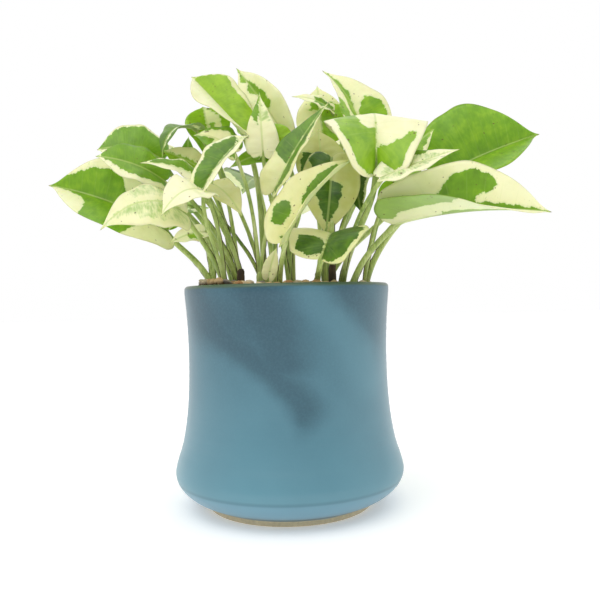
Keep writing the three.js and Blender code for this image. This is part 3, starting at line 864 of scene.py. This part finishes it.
shoots = {
    "shoot_left_low": {"root": (-41, -14), "leaves": [
        leaf((-71, 0, 162), (-136, -12, 188), (15, -90, 50), 56, fold=(35, 34), flatten=0.1, belly=0.44,
             curl=-10, ground="green", tone=0.38, buff=0.08, marks=[
            cream("90,-120 86,-95 80,-78 70,-78 60,-72 54,-66 50,-60 46,-42 43,-30 30,-10 10,-10 0,-120"),
            cream("100,5 88,15 78,25 70,32 66,42 63,80 61,120 100,120"),
            cream("0,15 20,20 32,55 35,75 38,95 41,120 0,120")]),
        leaf((-48, -4, 160), (-67, -12, 153), (-20, -84, 43), 14, tone=0.3, marks=[
            green("30,0 35,80 60,70 65,0")]),
        leaf((-62, 24, 175), (-108, 40, 166), (-20, 1, 96), 41, ground="green", tone=0.4, marks=[
            cream("30,10 40,120 80,120 70,10"),
            cream("10,-60 50,-40 90,-30 90,-120 10,-120")]),
    ]},
    "shoot_left_front": {"root": (-33, -30), "leaves": [
        leaf((-53, -38, 167), (-95, -52, 157), (0, -67, 74), 34, arch=0.27, fold=(-10, 10), belly=0.4,
             tone=0.3, buff=0.25, fleck=0.6, marks=[
            pale("0,30 20,80 60,70 95,20 90,-20 50,0 10,-20"),
            pale("15,-30 30,-90 60,-90 60,-30")]),
        leaf((-41, -48, 179), (-18, -34, 209), (-20, -85, 41), 24, fold=(16, 52), flatten=0, belly=0.5,
             tone=0.7, fleck=0.1, marks=[
            green("0,2 5,85 50,85 80,80 80,40 72,2"),
            green("30,-25 90,-25 90,-60 30,-50"),
            pale("80,70 75,20 95,0 95,60")]),
        leaf((-41, -44, 177), (-62, -58, 163), (-20, -76, 53), 27, arch=0.25, tone=0.3, fleck=0.2, marks=[
            pale("0,-60 0,80 35,90 30,-60")]),
    ]},
    "shoot_left_inner": {"root": (-25, -24), "top": 137, "crown": "dried", "leaves": [
        leaf((-39, -28, 184), (-22, -40, 164), (50, -83, 22), 18, tone=0.5, buff=0.6, shade=0.05),
        leaf((-48, -14, 189), (-80, -26, 197), (0, -58, 74), 18, tone=0.5, marks=[
            green("10,-90 10,-10 90,-10 90,-90")]),
    ]},
    "shoot_left_upper": {"root": (-14, -26), "top": 135, "leaves": [
        leaf((-5, -24, 181), (27, -16, 232), (-70, -65, 43), 24, arch=0.04, fold=(40, 20), curl=-10,
             belly=0.25, tone=0.7, buff=0.45, marks=[
            green("46,0 50,40 55,120 100,120 100,0"),
            green("10,-5 15,-70 60,-70 100,-70 100,-5")]),
        leaf((-28, -12, 205), (-52, -12, 215), (0, -82, 61), 22, arch=0.18, tone=0.5, buff=0.4, fleck=0.2,
             marks=[
            green("10,10 15,80 45,80 50,10"),
            green("60,20 60,120 95,120 95,20"),
            green("0,-70 0,-120 100,-120 100,-70")]),
    ]},
    "shoot_centre_front": {"root": (-3, -38), "leaves": [
        leaf((1, -58, 150), (39, -44, 194), (-48, -81, 35), 31, fold=(40, 64), flatten=0.1, belly=0.3,
             tone=0.65, buff=0.5, marks=[
            green("26,42 28,76 36,86 43,76 46,52 41,32 32,24"),
            green("48,3 52,25 60,32 70,50 80,60 92,50 90,15 70,10 60,3"),
            green("2,0 5,40 14,40 12,0")]),
        leaf((-9, -36, 131), (-4, -37, 148), (-30, -90, -7), 9, arch=0.05, wave=0.3, buff=0.4),
    ]},
    "shoot_centre_inner": {"root": (2, -12), "leaves": [
        leaf((-12, -6, 205), (-14, 2, 244), (0, -100, -2), 20, belly=0.15, fold=(20, 10), tone=0.45,
             buff=0.12, fleck=0.0, marks=[
            pale("70,-90 100,-90 100,90 76,90"),
            green("70,30 76,120 100,120 98,25"),
            green("2,50 5,120 20,120 14,50")]),
        leaf((-2, 4, 207), (-8, 0, 225), (-10, -99, 29), 20, arch=0.15, belly=0.5, ground="green",
             tone=0.15),
        leaf((-4, 2, 208), (-33, 0, 198), (0, -85, 41), 14, ground="green", tone=0.35),
    ]},
    "shoot_centre_low": {"root": (17, -38), "leaves": [
        leaf((19, -54, 140), (26, -34, 154), (3, -79, 43), 45, arch=0.25, fold=(5, 50), belly=0.5,
             tone=0.85, buff=0.5, fleck=0.1, marks=[
            green("5,5 10,40 14,75 24,82 34,70 36,30 30,5"),
            green("0,0 0,-88 50,-88 100,-60 100,0")]),
    ]},
    "shoot_right_inner": {"root": (26, -28), "top": 138, "crown": "dried", "leaves": [
        leaf((28, -9, 201), (23, -17, 154), (8, -91, 1), 34, fold=(20, 5), belly=0.35, tone=0.85,
             buff=0.8, shade=0.12, fleck=0.2, marks=[
            green("0,-5 0,-100 24,-98 36,-60 30,-15"),
            green("42,-5 42,-35 55,-55 80,-40 98,0 75,45 50,42")]),
        leaf((44, -1, 195), (45, -7, 168), (-50, -81, 2), 15, ground="green", tone=0.85, shade=0.3,
             marks=[
            cream("0,80 100,80 100,120 0,120")]),
    ]},
    "shoot_right_front": {"root": (31, -22), "leaves": [
        leaf((50, -40, 187), (52, 14, 220), (2, -69, 73), 57, arch=0.34, fold=(62, 58), flatten=1.9,
             curl=-36, belly=0.42, tone=0.28, buff=0.1, marks=[
            green("0,0 3,80 30,84 42,80 50,60 50,40 36,34 30,20 33,6 40,0"),
            green("60,10 60,70 85,60 90,10"),
            green("0,0 0,-85 24,-85 30,-88 31,-75 27,-62 26,-50 22,-30 17,0")]),
        leaf((52, -50, 182), (92, -54, 195), (0, -58, 82), 25, arch=0.02, tone=0.55, fleck=0.2, marks=[
            green("30,45 30,120 75,120 70,50"),
            pale("10,-75 15,50 70,60 90,30 80,-60 50,-75")]),
    ]},
    "shoot_right_low": {"root": (36, -30), "leaves": [
        leaf((61, -28, 160), (143, -42, 163), (-5, -84, 53), 53, arch=0.08, fold=(60, 104), flatten=0.65,
             belly=0.46, tone=0.45, buff=0.02, marks=[
            green("20,0 27,22 33,42 38,62 43,77 48,80 54,85 60,80 65,64 61,45 53,27 50,0"),
            green("33,-10 33,10 50,17 80,17 100,30 100,-10"),
            green("8,-50 8,-120 44,-120 40,-55 25,-42")]),
    ]},
    "shoot_left_back": {"root": (-28, 12), "leaves": [
        leaf((-70, -9, 190), (-104, -27, 201), (0, -79, 60), 30, belly=0.5, ground="green", tone=0.42,
             marks=[
            cream("20,66 50,72 95,30 100,-10 100,120 20,120"),
            cream("92,-120 94,0 100,0 100,-120")]),
        leaf((-76, 18, 208), (-113, 6, 212), (0, -80, 51), 37, belly=0.5, arch=0.16, ground="green",
             tone=0.42, marks=[
            cream("30,35 60,40 97,25 100,120 30,120"),
            cream("20,-93 90,-90 100,-120 20,-120")]),
        leaf((-53, 10, 224), (-72, -2, 204), (-60, -66, 53), 22, arch=0.3, ground="green", tone=0.7,
             marks=[
            cream("10,30 90,30 90,60 10,60")]),
        leaf((-52, 14, 201), (-74, 6, 211), (0, -83, 21), 18, tone=0.2, buff=0.4, marks=[
            green("0,-20 0,120 100,120 100,-20")]),
    ]},
    "shoot_upper_left": {"root": (-14, 22), "leaves": [
        leaf((-24, 8, 220), (-54, 0, 253), (43, -86, 27), 54, arch=0.02, belly=0.62, fold=(66, -4),
             tone=0.12, buff=0.12, marks=[
            green("0,2 10,-120 22,-100 30,-80 45,-76 60,-95 90,-96 97,-50 92,2")]),
        leaf((-46, 31, 221), (-51, 24, 242), (-10, -97, 9), 31, arch=0.12, belly=0.6, fold=(66, 0),
             tone=0.2, buff=0.15, marks=[
            green("0,5 0,120 100,120 100,5"),
            green("0,-10 5,-35 40,-30 40,-10"),
            green("0,-60 50,-60 100,-50 100,-120 0,-120")]),
        leaf((-61, 24, 209), (-60, 22, 223), (0, -93, 20), 8, ground="green", tone=0.4),
    ]},
    "shoot_upper_middle": {"root": (4, 30), "leaves": [
        leaf((-1, 28, 226), (-30, 30, 268), (-10, -98, 18), 30, belly=0.32, fold=(10, 62), tone=0.3,
             buff=0.08, marks=[
            green("100,0 92,75 83,60 82,15 90,-10"),
            green("84,-5 80,-38 71,-32 66,-2 68,28 75,35"),
            green("73,-12 72,-38 60,-46 50,-38 44,-10 50,-2 62,-4")]),
    ]},
    "shoot_upper_right": {"root": (24, 18), "leaves": [
        leaf((51, 22, 220), (25, 32, 266), (53, -81, 26), 43, fold=(34, 40), flatten=0.1, belly=0.2,
             tone=0.3, buff=0.15, fleck=0.2, marks=[
            green("96,-40 85,-28 75,-20 65,-2 50,12 50,40 60,50 70,40 80,40 96,30"),
            green("64,100 62,65 48,60 48,100"),
            green("56,-10 62,-30 64,-55 61,-75 50,-88 35,-82 15,-60 10,-20 40,-5")]),
        leaf((25, 38, 224), (22, 44, 260), (0, -92, 9), 33, tone=0.2, buff=0.2, fleck=0.2, marks=[
            green("62,5 62,50 80,50 80,5"),
            green("10,0 10,-120 62,-120 70,-60 60,0")]),
        leaf((31, 34, 241), (5, 30, 249), (0, -68, 62), 12, tone=0.5, marks=[
            green("0,-60 0,60 60,60 60,-60")]),
        leaf((23, 6, 192), (21, 10, 223), (0, -91, 0), 31, tone=0.85, buff=0.9, shade=0.25, marks=[
            green("0,10 10,90 60,80 60,0 10,-60")]),
    ]},
    "shoot_right_outer": {"root": (46, 2), "leaves": [
        leaf((96, 18, 194), (156, 10, 217), (-22, -90, 38), 70, arch=0.05, fold=(32, 56), flatten=0.2,
             belly=0.38, ground="green", tone=0.36),
        leaf((72, 4, 204), (90, 0, 219), (0, -84, 31), 18, ground="green", tone=0.3, marks=[
            cream("10,-70 90,-70 100,0 100,-120 10,-120")]),
        leaf((58, -12, 177), (85, -8, 197), (-50, -62, 14), 14, ground="green", tone=0.15),
    ]},
    "shoot_back_left": {"root": (-34, 34), "leaves": [
        leaf((-65, 58, 185), (-114, 86, 179), (-40, 50, 90), 46, ground="green", tone=0.35, marks=[
            cream("20,0 25,50 50,60 70,30 60,0"),
            cream("50,-40 50,-120 95,-120 90,-30")]),
        leaf((-52, 50, 207), (-90, 72, 224), (-30, 20, 90), 40, tone=0.35, marks=[
            green("10,10 15,80 60,85 80,30"),
            green("40,-5 40,-50 90,-40 100,0")]),
    ]},
    "shoot_back_middle": {"root": (-8, 46), "leaves": [
        leaf((-21, 82, 206), (-36, 130, 203), (-10, 60, 80), 48, ground="green", tone=0.9, marks=[
            cream("50,80 70,60 90,30 100,120 50,120")]),
        leaf((-12, 62, 224), (-32, 98, 242), (-10, 20, 90), 36, ground="green", tone=0.3, marks=[
            cream("10,-50 50,-30 90,-60 90,-120 10,-120")]),
        leaf((9, 86, 188), (4, 126, 181), (0, 50, 90), 44, tone=0.45, marks=[
            green("5,-10 10,-70 45,-80 50,-10"),
            pale("40,10 50,70 90,50 90,10")]),
    ]},
    "shoot_back_right": {"root": (24, 40), "leaves": [
        leaf((55, 60, 202), (89, 98, 207), (20, 50, 90), 48, tone=0.3, marks=[
            green("10,-10 12,-90 55,-90 70,-30 65,0"),
            green("50,5 50,50 85,60 95,10")]),
        leaf((42, 56, 224), (70, 84, 236), (10, 20, 90), 36, ground="green", tone=0.25, marks=[
            cream("15,40 50,20 90,40 90,120 15,120")]),
        leaf((23, 72, 214), (36, 116, 213), (10, 40, 90), 44, tone=0.35, marks=[
            green("0,0 10,75 40,80 45,0 40,-50 10,-60")]),
        leaf((69, 43, 178), (117, 63, 177), (30, 10, 95), 46, ground="green", tone=0.4, marks=[
            cream("30,-10 35,-120 60,-120 75,-20"),
            cream("60,50 60,120 95,120 90,40")]),
    ]},
}


# Gravel over the soil

gravelLook = {
    "tan": rgb(196, 164, 112),
    "cream": rgb(226, 206, 168),
    "rust": rgb(158, 104, 58),
    "grey": rgb(140, 132, 118),
    "stain": rgb(90, 66, 44),
    "earth": rgb(44, 30, 20),
    "dryEarth": rgb(84, 62, 42),
    "pebbleBed": (51.7, 127.4),     # radius and height of the sheet that the pebbles lie on
    "pebbleGap": 4.6,
    "pebble": 2.5,
    "crumbBed": (54.2, 125.6),
    "crumbGap": 2.0,
    "crumb": 1.1,
    "mound": 2.6,
    "moundFrom": 18,
    "moundSlope": 20,
    "cell": 1.3,
    "clearOfStem": 5.2,
}


def stoneMaterial(name, stops, roughness, scale, look):
    material, tree, surface = newMaterial(name)
    place = objectPlace(tree)
    grain = noise(tree, place, scale, 4, 0.65)
    patch = noise(tree, place, scale / 7, 2, 0.5)
    level = aroundHalf(tree, patch, 0.35, attributeOf(tree, "own", False))
    colour = ramp(tree, level, [(at, look[colour]) for at, colour in stops])
    colour = paint(tree, colour, step(tree, grain, 0.5, 0.75), 0.35, look["stain"], "MULTIPLY")
    fill(tree, surface, {"Base Color": colour, "Roughness": timesPlus(tree, grain, 0.2, roughness),
                         "Normal": bump(tree, grain, 0.35, 0.2 * mm)})
    return material


def scatterTree():
    # stones spread over the faces of the source, a few kinds of them, each turned and sized its own way
    tree, start, end = newGroup("scatteredStones", [
        ("Gap", "NodeSocketFloat", 4 * mm),
        ("Stone Radius", "NodeSocketFloat", 2 * mm),
        ("Fineness", "NodeSocketInt", 3),
        ("Seed", "NodeSocketInt", 1),
        ("Material", "NodeSocketMaterial", None),
    ])
    spread = addNode(tree, "GeometryNodeDistributePointsOnFaces", distribute_method="POISSON")
    fill(tree, spread, {"Mesh": start["Geometry"], "Distance Min": start["Gap"], "Density Max": 120000.0,
                        "Seed": start["Seed"]})
    kinds = addNode(tree, "GeometryNodeGeometryToInstance")
    for length, height, seed in ((1.0, 0.7, 3.0), (1.25, 0.62, 11.0), (0.85, 0.8, 23.0), (1.1, 0.55, 37.0)):
        ball = addNode(tree, "GeometryNodeMeshIcoSphere",
                       {"Subdivisions": start["Fineness"], "Radius": 1.0})
        place = addNode(tree, "GeometryNodeInputPosition").outputs[0]
        shifted = addNode(tree, "ShaderNodeVectorMath", {0: place, 1: (seed, seed, seed)}, operation="ADD")
        lumpy = timesPlus(tree, noise(tree, shifted.outputs[0], 1.1, 1, 0.4), 0.9, 0.55)
        lumps = addNode(tree, "ShaderNodeVectorMath", {0: place, "Scale": lumpy}, operation="SCALE")
        flat = addNode(tree, "ShaderNodeVectorMath", {0: lumps.outputs[0], 1: (length, 0.9, height)},
                       operation="MULTIPLY")
        stone = addNode(tree, "GeometryNodeSetPosition",
                        {"Geometry": ball.outputs[0], "Position": flat.outputs[0]})
        tree.links.new(stone.outputs[0], kinds.inputs[0])
    size = addNode(tree, "FunctionNodeRandomValue", {2: 0.72, 3: 1.25, "Seed": start["Seed"]})
    radius = times(tree, size.outputs[1], start["Stone Radius"])
    turn = addNode(tree, "FunctionNodeRandomValue", data_type="FLOAT_VECTOR")
    fill(tree, turn, {0: (-0.35, -0.35, 0.0), 1: (0.35, 0.35, 6.28), "Seed": start["Seed"]})
    placed = addNode(tree, "GeometryNodeInstanceOnPoints", {
        "Points": spread.outputs[0], "Instance": kinds.outputs[0], "Pick Instance": True,
        "Rotation": turn.outputs[0], "Scale": radius})
    own = addNode(tree, "FunctionNodeRandomValue", {2: 0.0, 3: 1.0, "Seed": 5})
    marked = addNode(tree, "GeometryNodeStoreNamedAttribute", {
        "Geometry": placed.outputs[0], "Name": "own", "Value": own.outputs[1]}, domain="INSTANCE")
    finishTree(tree, marked.outputs[0], start["Material"], end)
    return tree


def bedSheet(name, radius, height, look):
    # small faces with a hole round every stem, heaped up a little at the left
    cell = look["cell"]
    span = np.arange(-radius, radius, cell)
    faces, points = [], []
    for x in span:
        for y in span:
            stem = any(math.dist((x, y), shoot["root"]) < look["clearOfStem"] for shoot in shoots.values())
            if stem or math.hypot(x, y) > radius - 1:
                continue
            first = len(points)
            z = height + look["mound"] * np.clip((-x - look["moundFrom"]) / look["moundSlope"], 0, 1)
            points += [(x, y, z), (x + cell, y, z), (x + cell, y + cell, z), (x, y + cell, z)]
            faces.append(tuple(range(first, first + 4)))
    return newObject(name, newMesh(name, np.array(points) * mm, faces))


def makeGravel(look):
    scatter = scatterTree()
    pebbleStops = [(0.0, "rust"), (0.25, "tan"), (0.6, "cream"), (0.9, "grey")]
    stones = stoneMaterial("pebbleStone", pebbleStops, 0.55, 700, look)
    earth = stoneMaterial("crumbledSoil", [(0.0, "earth"), (1.0, "dryEarth")], 0.8, 900, look)
    bed = bedSheet("bed", *look["pebbleBed"], look)
    pebbles = applyTree(bed, scatter, {"Gap": look["pebbleGap"] * mm, "Stone Radius": look["pebble"] * mm,
                                       "Fineness": 3, "Seed": 7, "Material": stones}, "pebbles")
    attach(pebbles, "root")
    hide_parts("pebble_bed")
    bed = bedSheet("crumbBed", *look["crumbBed"], look)
    crumbs = applyTree(bed, scatter, {"Gap": look["crumbGap"] * mm, "Stone Radius": look["crumb"] * mm,
                                      "Fineness": 1, "Seed": 19, "Material": earth}, "soil_crumbs")
    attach(crumbs, "root")
    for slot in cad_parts["soil"].material_slots:
        slot.material = earth


# Studio: a pale floor, a white room that is darker behind the camera, one large soft light

studioLook = {
    "floor": (0.93, 0.93, 0.93, 1.0),
    "floorReach": 4,
    "floorGlow": 0.26,
    "room": 1.0,
    "behindCamera": 0.35,
    "key": 8.0,
    "keySize": 1.6,
    "keyPlace": (-0.5, -0.9, 1.5),
    "keyAim": (0, 0, 0.15),
}


def makeStudio(look):
    scene = bpy.context.scene
    scene.view_settings.view_transform = "Standard"
    reach = look["floorReach"]
    corners = [(-reach, -reach, 0), (reach, -reach, 0), (reach, reach, 0), (-reach, reach, 0)]
    plane = newMesh("floor", corners, [(0, 1, 2, 3)])
    floor = newObject("floor", plane)
    material, tree, surface = newMaterial("paleFloor")
    fill(tree, surface, {"Base Color": look["floor"], "Roughness": 0.7, "Specular IOR Level": 0.2,
                         "Emission Color": look["floor"], "Emission Strength": look["floorGlow"]})
    plane.materials.append(material)

    world = bpy.data.worlds.new("softRoom")
    scene.world = world
    world.use_nodes = True
    tree = world.node_tree
    backdrop = tree.nodes["Background"]
    direction = addNode(tree, "ShaderNodeTexCoord").outputs["Generated"]
    y, z = split(tree, direction)[1:]
    # dark low down on the side the camera looks from, white everywhere else
    frontal = times(tree, step(tree, y, -0.15, -0.8), step(tree, z, 0.75, 0.15))
    level = timesPlus(tree, frontal, look["behindCamera"] - look["room"], look["room"])
    seen = addNode(tree, "ShaderNodeLightPath").outputs["Is Camera Ray"]
    level = calc(tree, "MAXIMUM", level, seen)
    fill(tree, backdrop, {"Color": (1.0, 1.0, 1.0, 1.0), "Strength": level})

    lamp = bpy.data.lights.new("softKey", "AREA")
    lamp.energy = look["key"]
    lamp.size = look["keySize"]
    key = newObject("softKey", lamp)
    key.location = look["keyPlace"]
    key.rotation_euler = (Vector(look["keyAim"]) - key.location).to_track_quat("-Z", "Y").to_euler()


# Camera: where the photograph was taken from, level, just below the rim, and rolled a little

cameraLook = {
    "eye": (7.83, -400.0, 119.3),
    "downBy": 0.06,
    "tiltBy": -1.18,
    "focalPixels": 672.3,
    "framePixels": 600,
}


def makeCamera(look):
    lens = bpy.data.cameras.new("photoCamera")
    lens.sensor_width = 36
    lens.lens = look["focalPixels"] / look["framePixels"] * lens.sensor_width
    lens.clip_start = 0.01
    camera = newObject("photoCamera", lens)
    turn = Matrix.Rotation(math.radians(90 - look["downBy"]), 4, "X")
    roll = Matrix.Rotation(math.radians(look["tiltBy"]), 4, "Z")
    camera.matrix_world = Matrix.Translation([c * mm for c in look["eye"]]) @ turn @ roll
    bpy.context.scene.camera = camera


makeCamera(cameraLook)
makeStudio(studioLook)
print("camera and studio ready")

makePot(potLook, glazeMaterial(glazeLook))
print("pot turned and glazed")

makeGravel(gravelLook)
print("gravel and soil laid")

plantMaterials = {"blade": bladeMaterial(foliageLook), "stalk": stalkMaterial(stalkLook),
                  "dried": driedMaterial(stalkLook)}
for number, (node, shoot) in enumerate(shoots.items()):
    makeShoot(node, shoot, number + 1, plantMaterials)
print("shoots grown:", len(shoots))
